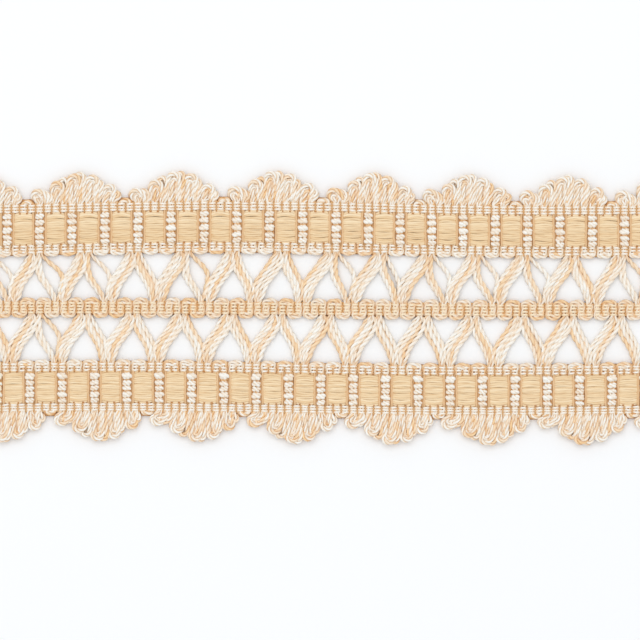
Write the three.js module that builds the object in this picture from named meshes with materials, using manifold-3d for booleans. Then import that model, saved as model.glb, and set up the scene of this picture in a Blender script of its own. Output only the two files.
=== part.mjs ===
// Scalloped openwork braid trim: a cut length that lies flat, seven scallops long.
// Millimetres. +X runs along the trim, +Y across it towards its upper fringe, +Z up.
// The origin is on the surface that the trim lies on, under the middle of its length and width.
import * as THREE from "three";
import { mergeVertices } from "three/addons/utils/BufferGeometryUtils.js";
import Module from "manifold-3d";

// Driving dimensions
const OVERALL_WIDTH = 63.5; // tip to tip of the longest loops
const PICK = 1.853; // pitch of the weft bundles along the trim
const PICKS_PER_SCALLOP = 12;
const PICKS_PER_ZIGZAG = 6;
const PICKS_PER_WINDOW = 4; // three picks of ribbon and one beaded bar
const SCALLOPS = 7;
const GAP = 0.3; // clearance between neighbouring pieces
const LOWER_SHIFT = -0.2; // the lower half was beaten up this many picks off the upper one

const PICKS = SCALLOPS * PICKS_PER_SCALLOP;
const LENGTH = PICKS * PICK;

// Edges of the rows across the trim
const UPPER = {
  side: 1,
  ribbonInner: 15.1,
  ribbonOuter: 22.3,
  railInner: 12.6,
  railOuter: 24.4,
  barPick: 3, // the first beaded bar lies over this pick
  barShift: 0,
};
const LOWER = {
  side: -1,
  ribbonInner: 14.0,
  ribbonOuter: 21.1,
  railInner: 11.9,
  railOuter: 23.4,
  barPick: 2,
  barShift: LOWER_SHIFT,
};
const CORD = { middle: 0.35, halfWidth: 1.6, crest: 1.9, groove: 1.3 };

// Heights above the surface
const RAIL = { crest: 1.7, groove: 1.25 };
const RIBBON = { sunk: 0.7, crown: 1.55, shoulder: 0.55 };
const BAR = { underside: RIBBON.sunk + GAP, crest: 2.1, groove: 1.6, end: 1.2, width: 1.75, beads: 5 };

// Zigzag bundles of the openwork
const BUNDLE = {
  width: 2.7, // a full leg, four yarns
  strandWidth: 1.35, // each half of a split leg
  height: 1.25,
  spread: 1.2, // a leg's ends stand this far from the middle of the vertex
  bulge: 1.2, // the halves of a split leg bow this far to either side
  stations: [0, 0.22, 0.5, 0.78, 1], // where along a leg its rings are
};
const UPPER_ZIGZAG = { topPick: 7.2, footPick: 4.0 };
const LOWER_ZIGZAG = { topPick: 7.1, footPick: 3.8 };

// Loops of the fringe, one row for each loop of a scallop, starting at the valley
const LOOPS = [
  { reach: 0.8, valley: true },
  { reach: 3.5, valley: false },
  { reach: 5.6, valley: false },
  { reach: 7.35, valley: false },
  { reach: 5.9, valley: false },
  { reach: 3.8, valley: false },
];
const PICKS_PER_LOOP = 2;
const VALLEY_BUMP_PICKS = 1.6;
const FRINGE_STRIP = { width: 0.9, height: 1.2 };
const LOOP = { width: 1.45, height: 1.3, lean: 0.3, tipAngles: [0, 50, 90, 130, 180] };
const FRINGE_UPPER = { firstPick: 2, firstRow: 4 };
const FRINGE_LOWER = { firstPick: 2.65, firstRow: 3 };

// Colours of the yarns
const BEIGE = 0xe6ca9c;
const CREAM = 0xf2e2c8;
const TAN = 0xe4c496;

const wasm = await Module();
wasm.setup();

const pickX = (pick) => -LENGTH / 2 + pick * PICK;

// A closed three.js geometry as a solid for joining and cutting.
function solidOf(geometry) {
  const bare = geometry.index ? geometry.toNonIndexed() : geometry.clone();
  bare.deleteAttribute("normal");
  bare.deleteAttribute("uv");
  const merged = mergeVertices(bare, 1e-4);
  return new wasm.Manifold(
    new wasm.Mesh({
      numProp: 3,
      vertProperties: merged.attributes.position.array,
      triVerts: new Uint32Array(merged.index.array),
    }),
  );
}

function join(geometries) {
  return wasm.Manifold.union(geometries.map(solidOf));
}

function meshOf(name, solid, colour) {
  const { vertProperties, triVerts, numProp } = solid.getMesh();
  const count = vertProperties.length / numProp;
  const position = new THREE.BufferAttribute(new Float32Array(count * 3), 3);
  for (let i = 0; i < count; i++) {
    position.setXYZ(i, ...vertProperties.subarray(i * numProp, i * numProp + 3));
  }
  const geometry = new THREE.BufferGeometry().setAttribute("position", position);
  geometry.setIndex(new THREE.BufferAttribute(new Uint32Array(triVerts), 1));
  geometry.computeVertexNormals();
  const material = new THREE.MeshStandardMaterial({ color: colour, roughness: 0.85, metalness: 0 });
  const mesh = new THREE.Mesh(geometry, material);
  mesh.name = name;
  return mesh;
}

// A row as long as the trim with a flat underside, whose top rises and falls with each pick.
function ribbedRow({ from, to, crest, groove, phase = 0 }) {
  const outline = new THREE.Shape();
  outline.moveTo(-LENGTH / 2, 0);
  outline.lineTo(LENGTH / 2, 0);
  for (let pick = PICKS; pick > 0; pick--) {
    const x = THREE.MathUtils.clamp(pickX(pick + phase), -LENGTH / 2, LENGTH / 2);
    outline.lineTo(x, groove);
    outline.lineTo(pickX(pick + phase - 0.5), crest);
  }
  outline.lineTo(-LENGTH / 2, groove);
  const geometry = new THREE.ExtrudeGeometry(outline, { depth: to - from, bevelEnabled: false });
  geometry.rotateX(Math.PI / 2);
  return geometry.translate(0, to, 0);
}

// One beaded bar across the ribbon, from rail to rail; its ends run into the rails below their grooves.
function beadedBar(row, x) {
  const overlap = 0.5;
  const start = row.ribbonInner - overlap;
  const span = row.ribbonOuter + overlap - start;
  const bead = span / BAR.beads;
  const outline = new THREE.Shape();
  outline.moveTo(0, BAR.underside);
  outline.lineTo(span, BAR.underside);
  for (let count = BAR.beads; count > 0; count--) {
    outline.lineTo(bead * count, count === BAR.beads ? BAR.end : BAR.groove);
    outline.lineTo(bead * (count - 0.5), BAR.crest);
  }
  outline.lineTo(0, BAR.end);
  const geometry = new THREE.ExtrudeGeometry(outline, { depth: BAR.width, bevelEnabled: false });
  geometry.rotateX(Math.PI / 2);
  geometry.rotateZ(Math.PI / 2);
  return row.side > 0
    ? geometry.translate(x - BAR.width / 2, start, 0)
    : geometry.translate(x - BAR.width / 2, -start - span, 0);
}

// Rows that lie on the lower side run the other way across the trim.
function across(row, inner, outer) {
  return row.side > 0 ? { from: inner, to: outer } : { from: -outer, to: -inner };
}

function heading(row) {
  const rail = { crest: RAIL.crest, groove: RAIL.groove, phase: row.barShift };
  const pieces = [
    ribbedRow({ ...rail, ...across(row, row.railInner, row.ribbonInner - GAP) }),
    ribbedRow({ ...rail, ...across(row, row.ribbonOuter + GAP, row.railOuter) }),
  ];
  for (let pick = row.barPick; pick < PICKS; pick += PICKS_PER_WINDOW) {
    pieces.push(beadedBar(row, pickX(pick + 0.5 + row.barShift)));
  }
  return join(pieces);
}

// The satin ribbon lies flat under the bars and swells up in the windows between them.
function ribbon(row) {
  const outline = new THREE.Shape();
  outline.moveTo(-LENGTH / 2, 0);
  outline.lineTo(LENGTH / 2, 0);
  outline.lineTo(LENGTH / 2, RIBBON.sunk);
  const clearOfBar = BAR.width / 2 + GAP;
  for (let pick = row.barPick + PICKS; pick > -PICKS_PER_WINDOW; pick -= PICKS_PER_WINDOW) {
    const bar = pickX(pick + 0.5 + row.barShift);
    const swell = [
      [bar + clearOfBar + RIBBON.shoulder, RIBBON.crown],
      [bar + clearOfBar, RIBBON.sunk],
      [bar - clearOfBar, RIBBON.sunk],
      [bar - clearOfBar - RIBBON.shoulder, RIBBON.crown],
    ];
    swell
      .filter(([x]) => Math.abs(x) < LENGTH / 2)
      .forEach(([x, z]) => outline.lineTo(x, z));
  }
  outline.lineTo(-LENGTH / 2, RIBBON.sunk);
  const { from, to } = across(row, row.ribbonInner, row.ribbonOuter);
  const geometry = new THREE.ExtrudeGeometry(outline, { depth: to - from, bevelEnabled: false });
  geometry.rotateX(Math.PI / 2);
  return solidOf(geometry.translate(0, to, 0));
}

// A strand that follows a curve in the plane z = 0, with a flat underside and a ring at each point.
// Its top is a flat of the share topShare of its width, or a ridge where that is 0.
function strand(points, { width, height, topShare }) {
  const section = new THREE.Shape();
  section.moveTo(0, -width / 2);
  section.lineTo(0, width / 2);
  section.lineTo(-height, (topShare * width) / 2);
  if (topShare > 0) section.lineTo(-height, (-topShare * width) / 2);
  section.closePath();
  const path = new THREE.CatmullRomCurve3(points);
  path.getUtoTmapping = (u) => u;
  return new THREE.ExtrudeGeometry(section, {
    steps: points.length - 1,
    extrudePath: path,
    bevelEnabled: false,
  });
}

// One leg of the zigzag: it leaves its top and meets its foot square, bowed sideways by bulge.
function leg(top, foot, bulge, width) {
  const at = (t) => {
    const aside = THREE.MathUtils.lerp(top.x, foot.x, THREE.MathUtils.smootherstep(t, 0, 1));
    const bow = bulge * Math.sin(Math.PI * t) ** 2;
    return new THREE.Vector3(aside + bow, THREE.MathUtils.lerp(top.y, foot.y, t), 0);
  };
  return strand(BUNDLE.stations.map(at), { width, height: BUNDLE.height, topShare: 0.5 });
}

// The zigzag between two heights: each top gives a full leg to the left and a split one to the right.
function zigzag({ topPick, footPick }, topY, footY) {
  const pieces = [];
  const inside = (...points) => points.every(({ x }) => Math.abs(x) < LENGTH / 2 - BUNDLE.width / 2);
  for (let pick = -PICKS_PER_ZIGZAG; pick <= PICKS; pick += PICKS_PER_ZIGZAG) {
    const topX = pickX(topPick + pick);
    const footX = pickX(footPick + pick);
    const leftTop = new THREE.Vector3(topX - BUNDLE.spread, topY, 0);
    const leftFoot = new THREE.Vector3(footX + BUNDLE.spread, footY, 0);
    const rightTop = new THREE.Vector3(topX + BUNDLE.spread, topY, 0);
    const rightFoot = new THREE.Vector3(footX + PICKS_PER_ZIGZAG * PICK - BUNDLE.spread, footY, 0);
    if (inside(leftTop, leftFoot)) pieces.push(leg(leftTop, leftFoot, 0, BUNDLE.width));
    if (inside(rightTop, rightFoot)) {
      pieces.push(leg(rightTop, rightFoot, BUNDLE.bulge, BUNDLE.strandWidth));
      pieces.push(leg(rightTop, rightFoot, -BUNDLE.bulge, BUNDLE.strandWidth));
    }
  }
  return pieces;
}

function openwork() {
  const sink = 0.8; // how far a leg runs into the cord
  const cordTop = CORD.middle + CORD.halfWidth;
  const cordFoot = CORD.middle - CORD.halfWidth;
  const cord = ribbedRow({
    from: cordFoot,
    to: cordTop,
    crest: CORD.crest,
    groove: CORD.groove,
  });
  return join([
    cord,
    ...zigzag(UPPER_ZIGZAG, UPPER.railInner - GAP, cordTop - sink),
    ...zigzag(LOWER_ZIGZAG, cordFoot + sink, GAP - LOWER.railInner),
  ]);
}

// One loop of the fringe: up on its right pick, round at the tip and down on its left pick.
function fringeLoop(x, edge, side, reach) {
  const half = (PICK * PICKS_PER_LOOP) / 4;
  const shoulder = reach - LOOP.width / 2 - half;
  const root = -0.5; // sunk into the strip
  const tip = LOOP.tipAngles.map((degrees) => {
    const angle = THREE.MathUtils.degToRad(degrees);
    return [half * Math.cos(angle), shoulder + half * Math.sin(angle)];
  });
  const points = [[half, root], ...tip, [-half, root]];
  const placed = points.map(([aside, up]) => {
    const lean = LOOP.lean * Math.max(up, 0);
    return new THREE.Vector3(x + aside - lean, edge + side * up, 0);
  });
  return strand(placed, { width: LOOP.width, height: LOOP.height, topShare: 0 });
}

// A valley has only a low bump of yarn, which lies along the strip.
function valleyBump(x, edge, side, reach) {
  const sunk = 0.3;
  const bump = new THREE.BoxGeometry(VALLEY_BUMP_PICKS * PICK, reach + sunk, LOOP.height);
  return bump.translate(x, edge + (side * (reach - sunk)) / 2, LOOP.height / 2);
}

function fringe(row, { firstPick, firstRow }) {
  const near = row.railOuter + GAP;
  const far = near + FRINGE_STRIP.width;
  const strip = new THREE.BoxGeometry(LENGTH, FRINGE_STRIP.width, FRINGE_STRIP.height);
  const pieces = [
    strip.translate(0, (row.side * (near + far)) / 2, FRINGE_STRIP.height / 2),
  ];
  // The tallest loop of a scallop ends at half of the overall width, and the rest are as much shorter.
  const tallest = Math.max(...LOOPS.map((loop) => loop.reach));
  let index = firstRow;
  for (let pick = firstPick; pick <= PICKS - 1; pick += PICKS_PER_LOOP) {
    const { reach, valley } = LOOPS[index % LOOPS.length];
    const beyondStrip = OVERALL_WIDTH / 2 - far - (tallest - reach);
    const x = pickX(pick);
    if (valley) pieces.push(valleyBump(x, row.side * far, row.side, reach));
    else pieces.push(fringeLoop(x, row.side * far, row.side, beyondStrip));
    index += 1;
  }
  return join(pieces);
}

const trim = new THREE.Group();
trim.add(
  meshOf("fringe_upper", fringe(UPPER, FRINGE_UPPER), CREAM),
  meshOf("heading_upper", heading(UPPER), TAN),
  meshOf("ribbon_upper", ribbon(UPPER), BEIGE),
  meshOf("openwork", openwork(), CREAM),
  meshOf("ribbon_lower", ribbon(LOWER), BEIGE),
  meshOf("heading_lower", heading(LOWER), TAN),
  meshOf("fringe_lower", fringe(LOWER, FRINGE_LOWER), CREAM),
);

export default trim;
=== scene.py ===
"""The looks of a flat length of scalloped openwork braid: every yarn, binding thread and ribbon thread.

Sizes are in millimetres until a piece's mesh is made, and the long side of the trim runs along X.
"""

import itertools
import math

import bpy
import numpy as np
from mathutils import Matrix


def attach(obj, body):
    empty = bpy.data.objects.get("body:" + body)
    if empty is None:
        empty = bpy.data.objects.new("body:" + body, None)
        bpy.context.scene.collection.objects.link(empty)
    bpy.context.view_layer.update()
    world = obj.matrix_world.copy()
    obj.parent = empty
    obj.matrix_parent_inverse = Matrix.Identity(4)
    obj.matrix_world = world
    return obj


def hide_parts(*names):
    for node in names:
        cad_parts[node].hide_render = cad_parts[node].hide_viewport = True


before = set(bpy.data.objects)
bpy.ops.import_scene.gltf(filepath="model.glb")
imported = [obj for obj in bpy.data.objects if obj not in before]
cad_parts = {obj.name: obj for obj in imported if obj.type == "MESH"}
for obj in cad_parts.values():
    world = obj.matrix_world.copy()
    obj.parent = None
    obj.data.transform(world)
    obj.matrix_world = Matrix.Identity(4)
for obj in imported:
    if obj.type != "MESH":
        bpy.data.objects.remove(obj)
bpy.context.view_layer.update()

METRES = 0.001

# How the trim is woven. The picks, the headings' edges and the cord's middle are those of the solids.
PICK = 1.853
PICKS = 84
LENGTH = PICKS * PICK
PICKS_PER_WINDOW = 4
PICKS_PER_ZIGZAG = 6
CORD_MIDDLE = 0.35
CORD_ROWS = (1.4, 0.7, 0.0, -0.7)

# Across the trim, each band is measured outwards from the middle line. A drift is the size, the start and
# the length of a slow wave, and a vertex is a pick at which two legs of the zigzag meet.
BANDS = {
    "upper": {
        "side": 1,
        "pick_shift": 0.5,
        "ribbon": (15.1, 22.3),
        "inner_edge": 12.6,
        "outer_edge": 24.4,
        "inner_rows": (13.4, 14.1, 14.8),
        "outer_rows": (22.75, 23.42, 24.1),
        "bar_pick": 3.5,
        "beads": (0.8, 0.95, 1.25, 1.1, 0.9),
        "first_loop": 1.5,
        "first_place": 4,
        "rail_vertex": 7.0,
        "cord_vertex": 4.0,
        "drift": (-0.53, 16.4, 156.0),
    },
    "lower": {
        "side": -1,
        "pick_shift": 0.3,
        "ribbon": (14.35, 21.5),
        "inner_edge": 11.9,
        "outer_edge": 23.4,
        "inner_rows": (12.65, 13.35, 14.05),
        "outer_rows": (21.95, 22.55, 23.15),
        "bar_pick": 2.3,
        "beads": (1.4, 0.9, 0.8, 1.15, 0.75),
        "first_loop": 2.3,
        "first_place": 3,
        "rail_vertex": 3.8,
        "cord_vertex": 7.0,
        "drift": (-0.45, -4.3, 174.0),
    },
}
CORD_DRIFT = (-0.3, 0.0, 230.0)

# The upper heading has crept along the trim: how far, and where
CREEP = (0.0, 0.0, 0.65, 0.8, 1.3, 1.1, 0.7, 0.65)
CREEP_AT = (-LENGTH / 2, -57.0, -27.0, -12.0, 4.0, 19.0, 33.0, LENGTH / 2)
CREEP_FROM = CORD_MIDDLE + 1.5
STILL_END = 3.0

# Radii of the yarns and threads
YARN_RADIUS = 0.6
BASE_RADIUS = 0.46
CORD_RADIUS = 0.42
SQUEEZED_RADIUS = 0.36
TAPERED_RADIUS = 0.3
THREAD_RADIUS = 0.25

# Two or three plies to a yarn: how far each lies from its axis, and how thick it is, as shares of the yarn
PLIES = {2: {"arm": 0.37, "size": 0.65}, 3: {"arm": 0.48, "size": 0.53}}
# The length of one turn of the plies, and the usual distance between the rings of their tubes
LAY = 3.7
RING_STEP = 0.4
FRINGE_LAY = 4.6
FRINGE_STEP = 0.56
BEAD_LAY = 2.4
BEAD_STEP = 0.22
# A bend of this many radians takes a ring of its own
RING_TURN = 0.55
FEWEST_RINGS = 4
PLY_SIDES = 5
STRIP_SIDES = 6
# How near a yarn comes to the surface that the trim lies on
SURFACE_GAP = 0.03
# How far the tone of a yarn's plies sways, and over what length
SWAY = 0.1
SWAY_LENGTH = 2.3
# How much shade is painted on a point, from 0 on a crest to 1 in a groove: in a ply by how far inside the rim
# of its yarn and how low it lies, and how thin the yarn is squeezed there, and in a lone thread by its
# height, with the low, inner and squeezed places painted darker
PAINTED_SHADE_IN_PLY = {"rim": 0.95, "inside": 1.4, "level": 0.2, "height": 0.42, "squeezed": 1.2}
PAINTED_SHADE_IN_THREAD = {"level": 0.4, "height": 0.6}
# Sets the fibres of one strand apart from those of the next
FIBRE_SHIFT = 3.7


def pick_x(pick):
    """Where a pick crosses the trim, along X."""
    return (pick - PICKS / 2) * PICK


def wave(x, drift):
    """The slow sideways wander of one band."""
    size, start, period = drift
    return size * np.sin(2 * math.pi * (x - start) / period)


def wander(x, y):
    """How far the trim lies out of straight at a point, across its length."""
    out = wave(x, CORD_DRIFT)
    for band in BANDS.values():
        share = np.clip((band["side"] * y - CORD_MIDDLE) / (band["inner_edge"] - CORD_MIDDLE), 0, 1)
        share = share * share * (3 - 2 * share)
        out = out + share * (wave(x, band["drift"]) - wave(x, CORD_DRIFT))
    return out


def creep(x, y):
    """How far the upper heading lies along from where its picks are counted. The trim's ends stay put."""
    share = np.clip((y - CREEP_FROM) / (BANDS["upper"]["inner_edge"] - CREEP_FROM), 0, 1)
    ends = np.clip((LENGTH / 2 - np.abs(x)) / STILL_END, 0, 1)
    return share * ends * np.interp(x, CREEP_AT, CREEP)


def laid(x, y, z):
    """A path from its columns, bent sideways as the trim is. One number stands for a whole column."""
    x, y, z = np.broadcast_arrays(x, y, z)
    return np.column_stack([x, y + wander(x, y), z])


def unit(vectors):
    """The same directions with a length of 1."""
    return vectors / np.maximum(np.linalg.norm(vectors, axis=-1, keepdims=True), 1e-9)


def along_path(points):
    """How far along a path each of its points lies."""
    return np.concatenate([[0.0], np.cumsum(np.linalg.norm(np.diff(points, axis=0), axis=1))])


def across(centre):
    """Two directions across a path at each of its points: level, and upward."""
    heading = unit(np.gradient(centre, axis=0))
    side = unit(np.cross(heading, (0.0, 0.0, 1.0)))
    return side, np.cross(side, heading)


def round_tube(sides):
    """The angle of each side of a tube."""
    return np.arange(sides) * 2 * math.pi / sides


def spline(rows, steps=12):
    """A natural cubic spline through rows of x, y and z, and the radius where they have one."""
    rows = np.asarray(rows, float)
    gaps = np.linalg.norm(np.diff(rows[:, :3], axis=0), axis=1)
    knots = np.concatenate([[0.0], np.cumsum(gaps)])
    count = len(rows)
    system = np.eye(count)
    wanted = np.zeros_like(rows)
    for i in range(1, count - 1):
        before, after = gaps[i - 1], gaps[i]
        system[i, i - 1 : i + 2] = before, 2 * (before + after), after
        wanted[i] = 6 * ((rows[i + 1] - rows[i]) / after - (rows[i] - rows[i - 1]) / before)
    bend = np.linalg.solve(system, wanted)
    at = np.linspace(0, knots[-1], steps * (count - 1) + 1)
    span = np.clip(np.searchsorted(knots, at, side="right") - 1, 0, count - 2)
    gap = gaps[span][:, None]
    left = (knots[span + 1] - at)[:, None] / gap
    right = 1 - left
    curve = left * rows[span] + right * rows[span + 1]
    return curve + ((left**3 - left) * bend[span] + (right**3 - right) * bend[span + 1]) * gap**2 / 6


def in_rings(path, step):
    """The same path at about even steps, closer together where it turns."""
    legs = np.diff(path[:, :3], axis=0)
    headings = unit(legs)
    turns = np.arccos(np.clip((headings[1:] * headings[:-1]).sum(1), -1, 1))
    effort = np.linalg.norm(legs, axis=1) / step
    effort[1:] += turns / RING_TURN
    along = np.concatenate([[0.0], np.cumsum(effort)])
    stops = np.linspace(0, along[-1], max(FEWEST_RINGS, int(round(along[-1])) + 1))
    return np.stack([np.interp(stops, along, column) for column in path.T], axis=1)


class Skein:
    """The strands of one piece, gathered until they become one mesh.

    A strand is its points, as rings by sides by 3, with a tone for each ring and a painted shade for each
    point, darker the deeper it lies in its yarn. The skein's painted crevice shade sets how dark the grooves
    of all its yarns are painted.
    """

    def __init__(self, seed, painted_crevice_shade=1.0):
        self.random = np.random.default_rng(seed)
        self.painted_crevice_shade = painted_crevice_shade
        self.strands = []

    def painted_ply_shade(self, rings, yarn):
        """The painted shade of a ply's points, from where they lie in its yarn: darker inside it, on its
        lower side and where it is squeezed.
        """
        out = (rings - yarn[:, None, :3]) / yarn[:, None, 3:]
        inside = PAINTED_SHADE_IN_PLY["rim"] - np.linalg.norm(out, axis=2)
        deep = PAINTED_SHADE_IN_PLY["inside"] * inside + PAINTED_SHADE_IN_PLY["level"] - PAINTED_SHADE_IN_PLY["height"] * out[:, :, 2]
        return self.painted_crevice_shade * deep + PAINTED_SHADE_IN_PLY["squeezed"] * (1 - yarn[:, 3:] / YARN_RADIUS)

    def thread(self, path, radius, tone, sides=STRIP_SIDES, flat=1.0, sunk=0.0, yarn=None):
        """A strand round a path of x, y and z: a flat of less than 1 presses it down, and extra painted shade
        darkens it.

        A ply is given its yarn, as the path and radius that it winds about.
        """
        side, up = across(path)
        angles = round_tube(sides)[None, :, None]
        ring = np.cos(angles) * side[:, None] + flat * np.sin(angles) * up[:, None]
        rings = path[:, None] + np.broadcast_to(radius, len(path))[:, None, None] * ring
        # Painted shade: a lone thread is darker on its lower side, and a ply is darker in the grooves of its
        # yarn
        if yarn is None:
            painted_shade = PAINTED_SHADE_IN_THREAD["level"] + sunk - PAINTED_SHADE_IN_THREAD["height"] * ring[:, :, 2] / flat
        else:
            painted_shade = self.painted_ply_shade(rings, yarn)
        self.strands.append((rings, np.broadcast_to(tone, len(path)), np.clip(painted_shade, 0, 1)))

    def yarn(self, rows, tones, lay=LAY, step=RING_STEP):
        """A plied yarn through given rows of x, y, z and radius, with one tone for each ply."""
        path = in_rings(spline(rows), step)
        path[:, :3] = laid(*path[:, :3].T)
        path[:, 2] = np.maximum(path[:, 2], path[:, 3] + SURFACE_GAP)
        centre, radius = path[:, :3], path[:, 3]
        side, up = across(centre)
        along = along_path(centre)
        start = self.random.uniform(0, 2 * math.pi)
        slow = self.random.uniform(0, 2 * math.pi)
        swaying = SWAY * np.sin(along / SWAY_LENGTH + slow)
        plies = PLIES[len(tones)]
        for ply, tone in enumerate(tones):
            turn = start + 2 * math.pi * (ply / len(tones) - along / lay)
            outward = np.cos(turn)[:, None] * side + np.sin(turn)[:, None] * up
            ply_path = centre + (plies["arm"] * radius)[:, None] * outward
            ply_tone = np.clip(tone + swaying, 0, 1)
            self.thread(ply_path, plies["size"] * radius, ply_tone, sides=PLY_SIDES, yarn=path)

    def piece(self, name, finish, slot, *nodes):
        """Joins the strands into one object, which rides on the trim's body and stands for CAD nodes."""
        made = bpy.data.objects.new(name, self.mesh(name))
        made.data.materials.append(finish)
        bpy.context.scene.collection.objects.link(made)
        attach(made, "root")
        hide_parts(*nodes)
        return made

    def mesh(self, name):
        """All the strands as one mesh in metres, with what its finish reads at each point, the painted shade
        among it.
        """
        points = np.concatenate([rings.reshape(-1, 3) for rings, _, _ in self.strands])
        points[:, 0] += creep(points[:, 0], points[:, 1])
        points *= METRES
        corners, sizes, tones, painted_shades, fibres = [], [], [], [], []
        first = 0
        for number, (rings, tone, painted_shade) in enumerate(self.strands):
            count, sides = rings.shape[:2]
            grid = first + np.arange(count * sides).reshape(count, sides)
            ahead = np.roll(grid, -1, axis=1)
            quads = np.stack([grid[:-1], grid[1:], ahead[1:], ahead[:-1]], axis=-1).reshape(-1)
            corners += [quads, grid[0], grid[-1][::-1]]
            sizes += [np.full((count - 1) * sides, 4), [sides], [sides]]
            tones.append(np.repeat(tone, sides))
            painted_shades.append(painted_shade.ravel())
            along = np.repeat(along_path(rings.mean(axis=1)), sides)
            angles = np.tile(round_tube(sides), count)
            fibres.append(np.column_stack([along, np.cos(angles), np.sin(angles) + FIBRE_SHIFT * number]))
            first += count * sides
        corners = np.concatenate(corners).astype(np.int32)
        sizes = np.concatenate(sizes).astype(np.int32)
        starts = np.concatenate([[0], np.cumsum(sizes)[:-1]]).astype(np.int32)
        mesh = bpy.data.meshes.new(name)
        mesh.vertices.add(len(points))
        mesh.vertices.foreach_set("co", points.astype(np.float32).ravel())
        mesh.loops.add(len(corners))
        mesh.loops.foreach_set("vertex_index", corners)
        mesh.polygons.add(len(sizes))
        mesh.polygons.foreach_set("loop_start", starts)
        mesh.polygons.foreach_set("loop_total", sizes)
        mesh.update(calc_edges=True)
        mesh.polygons.foreach_set("use_smooth", np.ones(len(sizes), bool))
        for attribute, kind, field, values in (
            ("tone", "FLOAT", "value", tones),
            ("painted_shade", "FLOAT", "value", painted_shades),
            ("fibre", "FLOAT_VECTOR", "vector", fibres),
        ):
            data = mesh.attributes.new(attribute, kind, "POINT").data
            data.foreach_set(field, np.concatenate(values).astype(np.float32).ravel())
        mesh.uv_layers.new(name="OFBake").data.foreach_set("uv", self.bake_map().astype(np.float32).ravel())
        return mesh

    def bake_map(self):
        """A flat map for baking: every strand is unrolled into its own strip of square cells.

        The strips are set in shelves on a square page, which grows until they fit.
        """
        gap = 0.6
        widths = np.array([len(rings) + 1 + gap for rings, _, _ in self.strands])
        heights = np.array([rings.shape[1] + gap for rings, _, _ in self.strands])
        order = np.lexsort((-widths, -heights))
        page = math.sqrt((widths * heights).sum())
        while True:
            page *= 1.01
            places, x, y, shelf = {}, gap / 2, gap / 2, 0.0
            for number in order:
                if x + widths[number] > page:
                    x, y, shelf = gap / 2, y + shelf, 0.0
                places[number] = (x, y)
                x += widths[number]
                shelf = max(shelf, heights[number])
            if y + shelf <= page:
                break
        cell = np.array([(0, 0), (1, 0), (1, 1), (0, 1)], float)
        flat = []
        for number, (rings, _, _) in enumerate(self.strands):
            count, sides = rings.shape[:2]
            column, row = np.meshgrid(np.arange(count - 1), np.arange(sides), indexing="ij")
            at = np.stack([column + 1.0, row], axis=-1)[:, :, None] + cell
            angles = round_tube(sides)
            cap = 0.5 + 0.45 * np.column_stack([np.cos(angles), np.sin(angles)])
            far_cap = cap[::-1] + (count, 0)
            strip = np.concatenate([at.reshape(-1, 2), cap, far_cap])
            flat.append(strip + places[number])
        return np.concatenate(flat) / page


# The yarns that a pick may carry, each with the tone of its plies, from 0 for white to 1 for gold
WHITE_YARN = (0.0, 0.08)
CREAM_YARN = (0.15, 0.28)
TAN_YARN = (0.7, 0.85)
WEFT = (WHITE_YARN, CREAM_YARN, TAN_YARN, CREAM_YARN)
# The fringe's yarns have three plies, and all but the first mix pale plies with darker ones
FRINGE_WEFT = ((0.0, 0.0, 0.1), (0.0, 0.1, 0.55), (0.85, 0.65, 0.25), (0.0, 0.15, 0.5))

# The yarns of a pick lie side by side in lanes, at this distance inside a woven row and as they leave it
LANE = 0.32
FRINGE_LANE = 0.45
# How high a yarn lies in a woven row, in its middle or in an outer lane, and at the ribbon's edge
MIDDLE_HEIGHT = 0.66
OUTER_HEIGHT = 0.92
UNDER_RIBBON = 0.34
OVER_RIBBON = 1.2


def weft_tones(skein, count=3, weft=WEFT):
    """The yarns of one pick in a chance order."""
    order = skein.random.permutation(count)
    return [weft[i] for i in order]


def is_bar(band, pick):
    """Whether a pick goes over the ribbon, as a bar."""
    return abs((pick - band["bar_pick"] + 0.5) % PICKS_PER_WINDOW - 0.5) < 0.1


def layer(lane):
    """The height of a yarn in a woven row: the middle ones lie lower."""
    return OUTER_HEIGHT if abs(lane) > 0.9 else MIDDLE_HEIGHT


def through_rail(band, pick, lane, rail):
    """A weft yarn's rows in the inner or the outer rail of a heading, from the ribbon's edge onwards."""
    rows = band["outer_rows"] if rail == "outer" else band["inner_rows"][::-1]
    inside = band["ribbon"][1] - 0.3 if rail == "outer" else band["ribbon"][0] + 0.3
    x = pick_x(pick) + lane * LANE
    return [
        (x, inside, OVER_RIBBON if is_bar(band, pick) else UNDER_RIBBON, TAPERED_RADIUS),
        (x, rows[0], layer(lane), SQUEEZED_RADIUS),
        (x, rows[-1], layer(lane), SQUEEZED_RADIUS),
    ]


def mirrored(rows, side):
    """Rows for the band above the cord, or turned over for the one below it."""
    return [(x, side * y, *others) for x, y, *others in rows]


def painted_shade_backing(skein, rows, half_widths):
    """A flat strip of tan fibre behind a bundle of yarns, which closes the gaps between them: partly the
    bundle's deeper fibres, partly painted shade, so that the shaded gaps read tan-brown.
    """
    path = laid(*spline(rows, steps=3).T)
    half = np.interp(np.linspace(0, 1, len(path)), np.linspace(0, 1, len(half_widths)), half_widths)
    skein.thread(path, half, tone=0.5, flat=0.12, sunk=0.3)


def painted_shade_filling(skein, near, far, height):
    """A flat band of tan threads deep in a woven row, from one side of the row to the other: a ground of
    threads that is also painted deep in shade, so that the gaps between picks read brown.
    """
    half = abs(far - near) / 2
    path = laid(np.linspace(-LENGTH / 2, LENGTH / 2, PICKS + 1), (near + far) / 2, height)
    skein.thread(path, half, tone=0.8, flat=0.12 / half, sunk=0.9)


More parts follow.
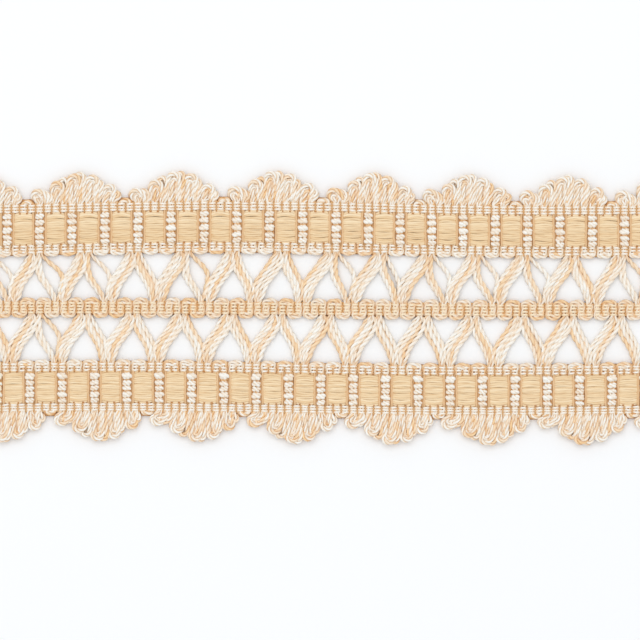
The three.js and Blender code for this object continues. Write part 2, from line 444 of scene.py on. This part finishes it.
# The loops of a scallop after its valley: how far the outer yarn and the second one reach past the heading,
# how far their tips lean to the left, and how high they are lifted over the loops beside them
LOOPS = (
    {"reach": 3.6, "second_reach": 3.2, "lean": 1.1, "lift": 0.0},
    {"reach": 5.3, "second_reach": 6.1, "lean": 0.2, "lift": 0.15},
    {"reach": 7.1, "second_reach": 7.2, "lean": 0.15, "lift": 0.3},
    {"reach": 6.6, "second_reach": 5.4, "lean": -0.15, "lift": 0.15},
    {"reach": 4.5, "second_reach": 2.9, "lean": -0.35, "lift": 0.0},
)


def hooked(bases, sides, top, heights, lean, edge):
    """Rows for one yarn of a loop: up its right side, round a hook at the top and down its left side."""
    right, left = sides
    round_top = (right - left) / 2
    middle = (right + left) / 2
    waist = top - round_top
    knee = 0.45 * waist + 0.1
    shoulder = waist + 0.72 * round_top
    front, crown, back = heights
    rows = [
        (bases[0], 0.25, 0.9, BASE_RADIUS),
        ((bases[0] + right) / 2, knee, (0.9 + front) / 2, YARN_RADIUS),
        (right - lean * 0.5, waist, front, YARN_RADIUS),
        (middle + 0.7 * round_top - lean * 0.9, shoulder, crown, YARN_RADIUS),
        (middle - lean, top, crown, YARN_RADIUS),
        (middle - 0.7 * round_top - lean, shoulder, crown, YARN_RADIUS),
        (left - lean, waist, (crown + back) / 2, YARN_RADIUS),
        ((bases[1] + left - lean) / 2, knee, back, 0.52),
        (bases[1], 0.25, 0.85, BASE_RADIUS),
    ]
    return [(x, edge + y, z, radius) for x, y, z, radius in rows]


def fringe_loop(skein, band, picks, loop):
    """One loop of the fringe: an outer yarn, a narrower one on its right, one within it and one behind."""
    side, edge = band["side"], band["outer_edge"]
    left, right = picks
    middle = pick_x((left + right) / 2)
    lean = loop["lean"] + skein.random.normal(0, 0.12)
    lift = loop["lift"]
    first = loop["reach"] - YARN_RADIUS
    second = loop["second_reach"] - YARN_RADIUS
    yarns = (
        {"lanes": (0, -1), "sides": (1.05, -1.5), "top": first, "heights": (1.3, 1.4, 0.75)},
        {"lanes": (1, 1), "sides": (1.9, 0.35), "top": second, "heights": (1.2, 1.05, 0.62)},
        {"lanes": (-1, 0), "sides": (0.45, -0.75), "top": first - 1.1, "heights": (0.75, 0.8, 1.1)},
        {"lanes": (0, -1), "sides": (0.75, -1.15), "top": first - 0.6, "heights": (0.62, 0.66, 0.62)},
    )
    for yarn, tones in zip(yarns, weft_tones(skein, len(yarns), FRINGE_WEFT)):
        shift, rise = skein.random.normal(0, 0.1, 2)
        start, end = yarn["lanes"]
        bases = (pick_x(right) + start * FRINGE_LANE, pick_x(left) + end * FRINGE_LANE)
        sides = [middle + reach + shift for reach in yarn["sides"]]
        heights = [height + lift for height in yarn["heights"]]
        rows = through_rail(band, right, start, "outer")
        rows += hooked(bases, sides, yarn["top"] + rise, heights, lean, edge)
        rows += through_rail(band, left, end, "outer")[::-1]
        skein.yarn(mirrored(rows, side), tones, FRINGE_LAY, FRINGE_STEP)
    # Tan strips behind the loop: partly deeper fibres, partly painted shade in the gaps between its yarns
    under_loop = [
        (middle, edge - 0.2, 0.6),
        (middle + 0.1 - lean / 2, edge + first / 2, 0.7 + lift),
        (middle - lean, edge + first - 0.5, 0.66 + lift),
    ]
    painted_shade_backing(skein, mirrored(under_loop, side), half_widths=(0.95, 1.7, 1.15))
    within = middle + sum(yarns[1]["sides"]) / 2
    under_second = [
        (within, edge + 0.4 * second, 0.5),
        (within - lean * 0.7, edge + 0.7 * second, 0.55 + lift),
        (within - lean, edge + second - 0.1, 0.6 + lift),
    ]
    painted_shade_backing(skein, mirrored(under_second, side), half_widths=(0.5, 0.62, 0.4))


def valley_loop(skein, band, picks):
    """The low loop in a valley between two scallops."""
    left, right = picks
    for lane, tones in zip((1, 0, -1), weft_tones(skein)):
        top = band["outer_edge"] + 0.12 + 0.17 * (lane + 1)
        outward = 0.2 * (lane + 1) - 0.25
        rows = through_rail(band, right, lane, "outer")
        rows += [
            (pick_x(right) + outward, top - 0.1, 0.95, 0.42),
            (pick_x((left + right) / 2), top + 0.25, 1.05, 0.44),
            (pick_x(left) - outward, top - 0.1, 0.95, 0.42),
        ]
        rows += through_rail(band, left, -lane, "outer")[::-1]
        skein.yarn(mirrored(rows, band["side"]), tones)


def fringe(name, seed):
    """The looped fringe along one outer edge: a valley loop and the five of its scallop, again and again."""
    skein = Skein(seed, painted_crevice_shade=1.5)
    band = BANDS[name]
    pick = band["first_loop"]
    place = band["first_place"]
    while pick + 1 < PICKS:
        if place == 0:
            valley_loop(skein, band, (pick, pick + 1))
        else:
            fringe_loop(skein, band, (pick, pick + 1), LOOPS[place - 1])
        pick += 2
        place = (place + 1) % (len(LOOPS) + 1)
    root = band["side"] * band["outer_edge"]
    painted_shade_filling(skein, root, root + band["side"] * 1.2, height=0.4)
    return skein.piece(f"{name}_fringe_yarns", MARLED, "marled_yarn", f"fringe_{name}")


# Down a leg: the share of its height, how far it has swung across to its foot, the same for a yarn that
# swings late or early where the leg splits, how far apart the yarns lie, and their radius
LEG_STATIONS = (
    {"drop": 0.06, "swing": 0.0, "late": 0.0, "early": 0.16, "apart": 0.62, "radius": 0.5},
    {"drop": 0.22, "swing": 0.12, "late": 0.0, "early": 0.55, "apart": 0.88, "radius": YARN_RADIUS},
    {"drop": 0.45, "swing": 0.5, "late": 0.12, "early": 1.0, "apart": 0.98, "radius": YARN_RADIUS},
    {"drop": 0.7, "swing": 0.92, "late": 0.56, "early": 1.04, "apart": 0.86, "radius": YARN_RADIUS},
    {"drop": 0.94, "swing": 1.0, "late": 0.93, "early": 1.0, "apart": 0.55, "radius": 0.5},
)
# Every second yarn of a leg lies higher
LEG_HEIGHTS = (0.62, 0.95)

# How far each leg that falls to the right is split open, from the left end of the trim
SPLITS = {
    "upper": (0.9, 1.0, 1.0, 0.2, 1.15, 0.0, 0.1, 1.0, 0.35, 1.0, 1.0, 1.0, 0.15, 1.0),
    "lower": (0.1, 1.0, 0.2, 0.1, 0.0, 0.1, 0.0, 0.05, 0.15, 0.1, 0.0, 0.1, 0.1, 0.1),
}
# A leg that is split less than this has a tan strip behind it, painted shade that closes its gaps
CLOSED = 0.3

# The outer and the inner yarn of a return loop: how far it stands off the picks at either side, how far short
# of the loop's reach it turns, and how high it lies
RETURN_YARNS = (
    {"aside": 0.52, "short": 0.0, "height": 1.0},
    {"aside": -0.2, "short": 0.66, "height": 0.9},
)
# Round a return loop: shares of its half width and of its reach, and the radius there
RETURN_TURN = ((0.92, 0.55, 0.46), (0.42, 1.0, 0.5), (-0.42, 1.0, 0.5), (-0.92, 0.55, 0.46))


def in_cord(pick, lane, side, through):
    """A weft yarn's rows in the middle cord, from one edge of it, right through or only into it."""
    x = pick_x(pick) + lane * LANE
    near, far = (CORD_ROWS[0], CORD_ROWS[-1])[::side]
    last = far - side * 0.3 if through else near - side * 0.2
    return [
        (x, near + side * 0.3, layer(lane), CORD_RADIUS),
        (x, last, layer(lane), CORD_RADIUS),
    ]


def leg(skein, band, rail_pick, cord_pick, count, split):
    """One bundle of yarns between a heading and the cord. A split of more than 0 opens it to an eye."""
    side = band["side"]
    rail_end = (pick_x(rail_pick), side * band["inner_edge"])
    cord_end = (pick_x(cord_pick), CORD_MIDDLE + side * 1.7)
    (top_x, top_y), (foot_x, foot_y) = (rail_end, cord_end)[::side]
    bow = skein.random.normal(0, 0.2)
    if split < CLOSED:
        behind = []
        for station in LEG_STATIONS:
            x = top_x + (foot_x - top_x) * station["swing"] + bow * math.sin(math.pi * station["drop"])
            behind.append((x, top_y + (foot_y - top_y) * station["drop"], 0.74))
        painted_shade_backing(skein, behind, [0.42 * station["apart"] * (count - 1) for station in LEG_STATIONS])
    lanes = np.linspace(-1, 1, count)
    for number, (lane, tones) in enumerate(zip(lanes, weft_tones(skein, count))):
        route = "early" if number == count - 1 else "late"
        sag = bow + skein.random.normal(0, 0.08)
        rows = []
        for station in LEG_STATIONS:
            swing = station["swing"] + split * (station[route] - station["swing"])
            apart = station["apart"] * (count - 1) / 2 * (1 - 0.12 * split)
            x = top_x + (foot_x - top_x) * swing + lane * apart + sag * math.sin(math.pi * station["drop"])
            y = top_y + (foot_y - top_y) * station["drop"]
            height = LEG_HEIGHTS[number % 2] + skein.random.normal(0, 0.05)
            rows.append((x, y, height, station["radius"]))
        held = mirrored(through_rail(band, rail_pick, lane, "inner"), side)
        rows = held + rows[::side] + in_cord(cord_pick, lane, side, through=side > 0)
        skein.yarn(rows, [0.85 * tone for tone in tones])


def return_loop(skein, left, rows_in, edge, reach, radius, golden=False):
    """Two yarns that come out of a woven row after a pick and turn straight back into it at the next."""
    middle = pick_x(left + 0.5)
    for yarn, tones in zip(RETURN_YARNS, weft_tones(skein)):
        half = PICK / 2 + yarn["aside"]
        height = yarn["height"]
        out = reach - math.copysign(yarn["short"], reach)
        rows = [(middle + half, y, height, radius) for y in rows_in]
        rows += [(middle + half * wide, edge + out * high, height, size) for wide, high, size in RETURN_TURN]
        rows += [(middle - half, y, height, radius) for y in rows_in[::-1]]
        skein.yarn(rows, [0.3 + 0.6 * tone for tone in tones] if golden else tones)


def openwork(name, seed):
    """The zigzag of yarn bundles between one heading and the cord, with the small loops at both its edges."""
    skein = Skein(seed, painted_crevice_shade=0.6)
    band = BANDS[name]
    side = band["side"]
    near, far = (CORD_ROWS[0], CORD_ROWS[-1])[::side]
    in_heading = [side * (band["ribbon"][0] + 0.1), side * band["inner_rows"][1]]
    splits = itertools.cycle(SPLITS[name])
    for turn in range(-1, PICKS // PICKS_PER_ZIGZAG + 1):
        rail = band["rail_vertex"] + turn * PICKS_PER_ZIGZAG
        cord = band["cord_vertex"] + turn * PICKS_PER_ZIGZAG
        cord += PICKS_PER_ZIGZAG if cord < rail - 4 else 0
        beside = side * 0.5
        rising = (rail - beside, cord + beside)
        falling = (rail + beside, cord + side * PICKS_PER_ZIGZAG - beside)
        for (rail_pick, cord_pick), count in ((rising, 4), (falling, 3)):
            if 0 < rail_pick < PICKS and 0 < cord_pick < PICKS:
                split = next(splits) if count == 3 else 0.0
                leg(skein, band, rail_pick, cord_pick, count, split)
        for shift in (1.5, 3.5):
            if 0 < rail + shift < PICKS - 1:
                edge = side * band["inner_rows"][0]
                return_loop(skein, rail + shift, in_heading, edge, -side * 0.6, SQUEEZED_RADIUS)
            if 0 < cord + shift < PICKS - 1:
                in_middle = [far - side * 0.3, near - side * 0.4]
                return_loop(skein, cord + shift, in_middle, near, side * 0.85, CORD_RADIUS, golden=True)
    return skein.piece(f"{name}_openwork_yarns", MARLED, "marled_yarn", "openwork")


def binder(skein, y, shift, over, tone, low, high, radius=THREAD_RADIUS):
    """One fine thread that runs the length of the trim, over or under each pick."""
    steps = np.array([0.0, 0.24, 0.5, 0.76]) if over else np.array([0.0, 0.5])
    picks = (np.arange(-1, PICKS + 1)[:, None] + steps + shift - 0.5).ravel()
    picks = np.concatenate([[0.0], picks[(picks > 0.02) & (picks < PICKS - 0.02)], [PICKS]])
    place = np.abs((picks - shift + 0.5) % 1 - 0.5)
    on_pick = 1 - np.clip((place - 0.17) / 0.26, 0, 1) ** 1.3
    heights = low + (high - low) * (on_pick if over else 1 - on_pick)
    x = pick_x(picks)
    wobble = 0.04 * np.sin(x * 1.7 + y * 3) + skein.random.normal(0, 0.03, len(x))
    # Painted shade: an over thread turns from its own tone to dark gold where it dips between the picks, and
    # an under thread is painted darker throughout
    shade = 0.95 - (0.95 - tone) * on_pick if over else tone
    skein.thread(laid(x, y + wobble, heights), radius, shade, PLY_SIDES, flat=0.75, sunk=0.0 if over else 0.4)


def woven_rows(skein, rows, side, shift):
    """Binding threads over and under the picks of one woven row."""
    painted_shade_filling(skein, side * (rows[0] - 0.7), side * (rows[-1] + 0.45), height=0.76)
    for y in rows:
        binder(skein, side * y, shift, over=True, tone=0.0, low=0.62, high=1.23, radius=0.26)
    for y in np.linspace(rows[0] - 0.3, rows[-1] + 0.3, len(rows) + 1):
        binder(skein, side * y, shift, over=False, tone=0.95, low=0.25, high=0.92)


# Along a bar lie its padding, a dark thread at each side of that, and a strip outside each dark thread. The
# dark threads are painted shadow for the gaps beside the padding, and all three are darkened with extra
# painted shade
BAR_STRIPS = (
    {"aside": 0.0, "height": 0.95, "radius": 1.1, "flat": 0.3, "tone": 0.8, "sunk": 0.5},
    {"aside": 0.95, "height": 1.15, "radius": 0.15, "flat": 1.0, "tone": 0.9, "sunk": 0.55},
    {"aside": 1.42, "height": 1.0, "radius": 0.36, "flat": 0.7, "tone": 0.8, "sunk": 0.45},
)
STRIP_STOPS = 9
BEAD_TONES = (0.05, 0.26, 0.14)
STITCH_HEIGHT = 1.2


def painted_shade_stitch(skein, x, y, half, height=STITCH_HEIGHT):
    """A short dark thread along the trim, pulled down to a height at its middle, in the darkest painted
    shade: it paints the shade of a small gap.
    """
    along = np.linspace(-1, 1, 5)
    path = laid(x + half * along, y, height + (STITCH_HEIGHT - height) * along**2)
    skein.thread(path, radius=0.16, tone=1.0, sunk=1.0)


def bar(skein, band, pick):
    """A beaded bar over the ribbon: strips along it, and five white beads with dark threads between them,
    partly a stitch and partly painted shade in the gaps between beads.
    """
    side = band["side"]
    inner, outer = band["ribbon"]
    x = pick_x(pick)
    ends = side * np.linspace(inner - 0.3, outer + 0.3, STRIP_STOPS)
    for strip in BAR_STRIPS:
        for lane in (-1, 1) if strip["aside"] else (1,):
            along = x + lane * strip["aside"] + skein.random.normal(0, 0.03, STRIP_STOPS)
            path = laid(along, ends, strip["height"])
            skein.thread(path, strip["radius"], strip["tone"], flat=strip["flat"], sunk=strip["sunk"])
    start = inner
    for share in band["beads"]:
        length = share * (outer - inner) / sum(band["beads"])
        y = side * (start + length / 2 + skein.random.normal(0, 0.04))
        start += length
        size = 0.36 + 0.26 * length
        tilt = skein.random.normal(0, 0.04)
        rows = [
            (x - 0.52, y - tilt, 0.98, 0.92 * size),
            (x - 0.34, y - tilt, 1.32, size),
            (x, y, 1.3, 0.8 * size),
            (x + 0.34, y + tilt, 1.32, size),
            (x + 0.52, y + tilt, 0.98, 0.92 * size),
        ]
        skein.yarn(rows, BEAD_TONES, BEAD_LAY, BEAD_STEP)
        if start < outer - 0.1:
            painted_shade_stitch(skein, x, side * start, half=1.0, height=0.98)


def heading(name, seed):
    """A woven heading: two binding rows, the beaded bars between them and the wefts hidden by the ribbon."""
    skein = Skein(seed)
    band = BANDS[name]
    side = band["side"]
    inner, outer = band["ribbon"]
    woven_rows(skein, band["inner_rows"], side, band["pick_shift"])
    woven_rows(skein, band["outer_rows"], side, band["pick_shift"])
    for pick in np.arange(PICKS) + band["pick_shift"]:
        if is_bar(band, pick):
            bar(skein, band, pick)
            # Dark dots at the ribbon's edges beside each bar: painted shadow in the small holes there
            for along, edge in itertools.product((1.5, 2.5), (inner, outer)):
                x = pick_x(pick + along) + skein.random.normal(0, 0.12)
                if abs(x) < LENGTH / 2 - 1:
                    painted_shade_stitch(skein, x, side * edge, half=skein.random.uniform(0.12, 0.28))
        else:
            path = laid(pick_x(pick), side * np.linspace(inner - 0.1, outer + 0.1, 5), 0.24)
            skein.thread(path, radius=0.22, tone=0.3)
    return skein.piece(f"{name}_heading_threads", BINDING, "binding_yarn", f"heading_{name}")


def cord_binders(seed):
    """The binding threads that hold the wefts together in the middle cord."""
    skein = Skein(seed)
    painted_shade_filling(skein, CORD_ROWS[0] + 0.6, CORD_ROWS[-1] - 0.6, height=0.76)
    for y in CORD_ROWS:
        binder(skein, y, shift=0.5, over=True, tone=0.0, low=0.62, high=1.36, radius=0.27)
        binder(skein, y + 0.35, shift=0.5, over=False, tone=1.0, low=0.25, high=0.92)
    return skein.piece("cord_binding_threads", GOLDEN, "marled_yarn", "openwork")


# The ribbon's threads lie in five groups, one to each bead of a bar
RIBBON_GROUPS = (3, 3, 4, 3, 3)
# How far the ribbon goes in under the rows at its edges
RIBBON_TUCK = 0.15
# The ribbon is sunk as far as this from a bar's middle, and then swells over these lengths
SUNK_HALF = 0.85
CROWN_LENGTH = 1.4
ARCH_LENGTH = 2.85


def ribbon(skein, band):
    """One flat ribbon, thread by thread, sunk under each bar and crowned in each window."""
    inner, outer = band["ribbon"][0] - RIBBON_TUCK, band["ribbon"][1] + RIBBON_TUCK
    groups = len(RIBBON_GROUPS)
    x = np.linspace(-LENGTH / 2, LENGTH / 2, PICKS // PICKS_PER_WINDOW * 10 + 1)
    half_window = PICKS_PER_WINDOW / 2
    from_bar = (x / PICK + PICKS / 2 - band["bar_pick"] + half_window) % PICKS_PER_WINDOW - half_window
    past_bar = np.abs(from_bar) * PICK - SUNK_HALF
    crown = np.sin(np.clip(past_bar / CROWN_LENGTH, 0, 1) * math.pi / 2)
    arch = np.sin(np.clip(past_bar / ARCH_LENGTH, 0, 1) * math.pi / 2)
    for group, threads in enumerate(RIBBON_GROUPS):
        for number in range(threads):
            place = (group + (number + 0.5) / threads * 0.96 + 0.02) / groups * 2 - 1
            dip = 0.07 if number in (0, threads - 1) else 0.0
            ripple = 0.035 * np.sin(x * skein.random.uniform(0.3, 0.6) + skein.random.uniform(0, 6))
            height = 0.6 + crown * (0.66 - 0.16 * place**2) - dip + ripple
            y = (inner + outer) / 2 + place * (outer - inner) / 2 * (0.86 + 0.18 * arch)
            y += skein.random.normal(0, 0.02) + 0.04 * np.sin(x * 0.9 + 2 * number + group)
            # Painted shade: each thread is darker where the ribbon sinks towards a bar, on top of a random
            # tone of its own
            tone = np.clip(0.4 + skein.random.normal(0, 0.2) + 0.6 * (1 - crown), 0, 1)
            radius = 1.25 * (outer - inner) / 2 / groups / threads
            skein.thread(laid(x, band["side"] * y, height), radius, tone, flat=0.4)


def ribbons(seed):
    """Both ribbons as one piece."""
    skein = Skein(seed)
    for band in BANDS.values():
        ribbon(skein, band)
    return skein.piece("ribbon_threads", RIBBON, "satin_ribbon", "ribbon_upper", "ribbon_lower")


class Wire:
    """An output socket of a material's node: Python's operators on it add Math nodes."""

    def __init__(self, finish, socket):
        self.finish = finish
        self.socket = socket

    def __add__(self, other):
        return self.finish.maths("ADD", self, other)

    def __sub__(self, other):
        return self.finish.maths("SUBTRACT", self, other)

    def __rsub__(self, other):
        return self.finish.maths("SUBTRACT", other, self)

    def __mul__(self, other):
        return self.finish.maths("MULTIPLY", self, other)

    __radd__ = __add__
    __rmul__ = __mul__


class Finish:
    """A material, and the one method that adds nodes to it."""

    def __init__(self, name, **constants):
        self.material = bpy.data.materials.new(name)
        self.material.use_nodes = True
        self.tree = self.material.node_tree
        self.shader = self.tree.nodes["Principled BSDF"]
        for socket, value in constants.items():
            self.shader.inputs[socket.replace("_", " ")].default_value = value

    def node(self, kind, settings, inputs, output=0):
        """Adds a node: its settings first, then the values or wires of its sockets."""
        made = self.tree.nodes.new(kind)
        for setting, value in settings.items():
            setattr(made, setting, value)
        for socket, value in inputs.items():
            self.feed(made.inputs[socket], value)
        return Wire(self, made.outputs[output])

    def feed(self, socket, value):
        """Sets a socket to a value, or links a wire to it."""
        if isinstance(value, Wire):
            self.tree.links.new(value.socket, socket)
        else:
            socket.default_value = value

    def maths(self, operation, first, second):
        """One Math node on two values or wires."""
        return self.node("ShaderNodeMath", {"operation": operation}, {0: first, 1: second})

    def mixed(self, share, first, second):
        """Two colours mixed by a share from 0 to 1."""
        settings = {"data_type": "RGBA", "clamp_factor": True}
        return self.node("ShaderNodeMix", settings, {0: share, 6: first, 7: second}, output=2)

    def noise(self, vector, scale, detail):
        """Soft noise of about 0 to 1."""
        inputs = {"Vector": vector, "Scale": scale, "Detail": detail}
        return self.node("ShaderNodeTexNoise", {}, inputs, output="Fac")

    def attribute(self, name, output="Fac"):
        """What the strands' mesh holds under a name."""
        return self.node("ShaderNodeAttribute", {"attribute_name": name}, {}, output)


def srgb(red, green, blue):
    """A colour given as it looks on screen, 0 to 255, in the shader's own linear scale."""
    shares = (value / 255 for value in (red, green, blue))
    linear = [share / 12.92 if share <= 0.04045 else ((share + 0.055) / 1.055) ** 2.4 for share in shares]
    return (*linear, 1.0)


def fibre_finish(name, painted_lit_colours, painted_shades, stretch, grain, bump):
    """Spun fibre. The strand's tone mixes a pale colour with a deep one, in lit copies for its crests and in
    darker painted shade copies for its grooves.

    Stretch scales the noise along the strand and round it, grain is the strength of the broad streaks, and
    bump is the height of the fine hairs in metres.
    """
    finish = Finish(name, Sheen_Weight=0.1)
    tone = finish.attribute("tone")
    painted_shade = finish.attribute("painted_shade")
    fibre = finish.attribute("fibre", output="Vector")
    long_fibre = finish.node("ShaderNodeVectorMath", {"operation": "MULTIPLY"}, {0: fibre, 1: stretch})
    streaks = finish.noise(long_fibre, scale=1.0, detail=3.0)
    hairs = finish.noise(long_fibre, scale=3.5, detail=2.0)
    share = tone + (streaks - 0.5) * 0.3
    # Lit colour and painted shade colour, blended by the painted shade attribute with the streaks and hairs
    # of the fibre
    painted_lit_colour = finish.mixed(share, *painted_lit_colours)
    painted_crevice_shade = finish.mixed(share, *painted_shades)
    colour = finish.mixed(painted_shade + (hairs - 0.45) * 0.5 + (streaks - 0.5) * grain, painted_lit_colour, painted_crevice_shade)
    finish.feed(finish.shader.inputs["Base Color"], colour)
    finish.feed(finish.shader.inputs["Roughness"], 0.5 + hairs * 0.3)
    relief = {"Strength": 0.5, "Distance": bump, "Height": hairs}
    finish.feed(finish.shader.inputs["Normal"], finish.node("ShaderNodeBump", {}, relief, output="Normal"))
    return finish.material


# The first pair of each finish is the lit crest colour, and the second is the painted shade for grooves, pale
# and deep
MARLED = fibre_finish(
    "marled yarn",
    painted_lit_colours=(srgb(255, 252, 245), srgb(253, 214, 160)),
    painted_shades=(srgb(230, 192, 140), srgb(212, 144, 72)),
    stretch=(0.55, 1.6, 1.6),
    grain=0.4,
    bump=0.00006,
)
BINDING = fibre_finish(
    "binding yarn",
    painted_lit_colours=(srgb(255, 253, 247), srgb(240, 196, 132)),
    painted_shades=(srgb(236, 198, 140), srgb(190, 122, 56)),
    stretch=(0.7, 1.6, 1.6),
    grain=0.2,
    bump=0.00004,
)
GOLDEN = fibre_finish(
    "golden binding yarn",
    painted_lit_colours=(srgb(255, 240, 212), srgb(242, 192, 122)),
    painted_shades=(srgb(228, 176, 106), srgb(180, 110, 46)),
    stretch=(0.7, 1.6, 1.6),
    grain=0.2,
    bump=0.00004,
)
RIBBON = fibre_finish(
    "satin ribbon",
    painted_lit_colours=(srgb(250, 227, 190), srgb(234, 198, 147)),
    painted_shades=(srgb(224, 182, 128), srgb(206, 154, 92)),
    stretch=(0.35, 1.3, 1.3),
    grain=2.6,
    bump=0.00002,
)

# In metres, like the places of the camera and the lamp
FLOOR_HALF = 1.5


def floor():
    """A plain pale floor, which isn't part of the trim."""
    corners = [(FLOOR_HALF * x, FLOOR_HALF * y, 0.0) for x, y in ((-1, -1), (1, -1), (1, 1), (-1, 1))]
    mesh = bpy.data.meshes.new("floor")
    mesh.from_pydata(corners, [], [(0, 1, 2, 3)])
    finish = Finish("pale floor", Base_Color=(0.97, 0.972, 0.978, 1), Roughness=0.8)
    mesh.materials.append(finish.material)
    made = bpy.data.objects.new("floor", mesh)
    bpy.context.scene.collection.objects.link(made)


# The point of the trim in the middle of the photograph, and how much of its length the photograph shows
PHOTO_CENTRE = (0.34, -2.18)
PHOTO_WIDTH = 146.7


def camera():
    """Straight above the trim, with a long lens, framing what the photograph frames."""
    data = bpy.data.cameras.new("camera")
    data.lens = 200
    data.clip_start = 0.05
    distance = PHOTO_WIDTH * METRES / data.sensor_width * data.lens
    made = bpy.data.objects.new("camera", data)
    made.location = (PHOTO_CENTRE[0] * METRES, PHOTO_CENTRE[1] * METRES, distance + METRES)
    bpy.context.scene.collection.objects.link(made)
    bpy.context.scene.camera = made


def lights():
    """A white room, and one wide soft lamp above and a little towards the photograph's top."""
    scene = bpy.context.scene
    scene.view_settings.view_transform = "Standard"
    scene.world = bpy.data.worlds.new("white room")
    scene.world.use_nodes = True
    background = scene.world.node_tree.nodes["Background"]
    background.inputs["Color"].default_value = (0.96, 0.982, 1.0, 1.0)
    background.inputs["Strength"].default_value = 0.83
    lamp = bpy.data.lights.new("soft lamp", "AREA")
    lamp.shape = "DISK"
    lamp.size = 1.0
    lamp.energy = 3.0
    made = bpy.data.objects.new("soft lamp", lamp)
    made.location = (-0.1, 0.3, 1.0)
    made.rotation_euler = (-made.location).to_track_quat("-Z", "Y").to_euler()
    scene.collection.objects.link(made)


camera()
lights()
floor()
pieces = [
    fringe("upper", seed=11),
    fringe("lower", seed=12),
    openwork("upper", seed=13),
    openwork("lower", seed=14),
    cord_binders(seed=15),
    heading("upper", seed=16),
    heading("lower", seed=17),
]
ribbon_threads = ribbons(seed=18)
ribbon_width = sum(band["ribbon"][1] - band["ribbon"][0] for band in BANDS.values())
ribbon_width * METRES
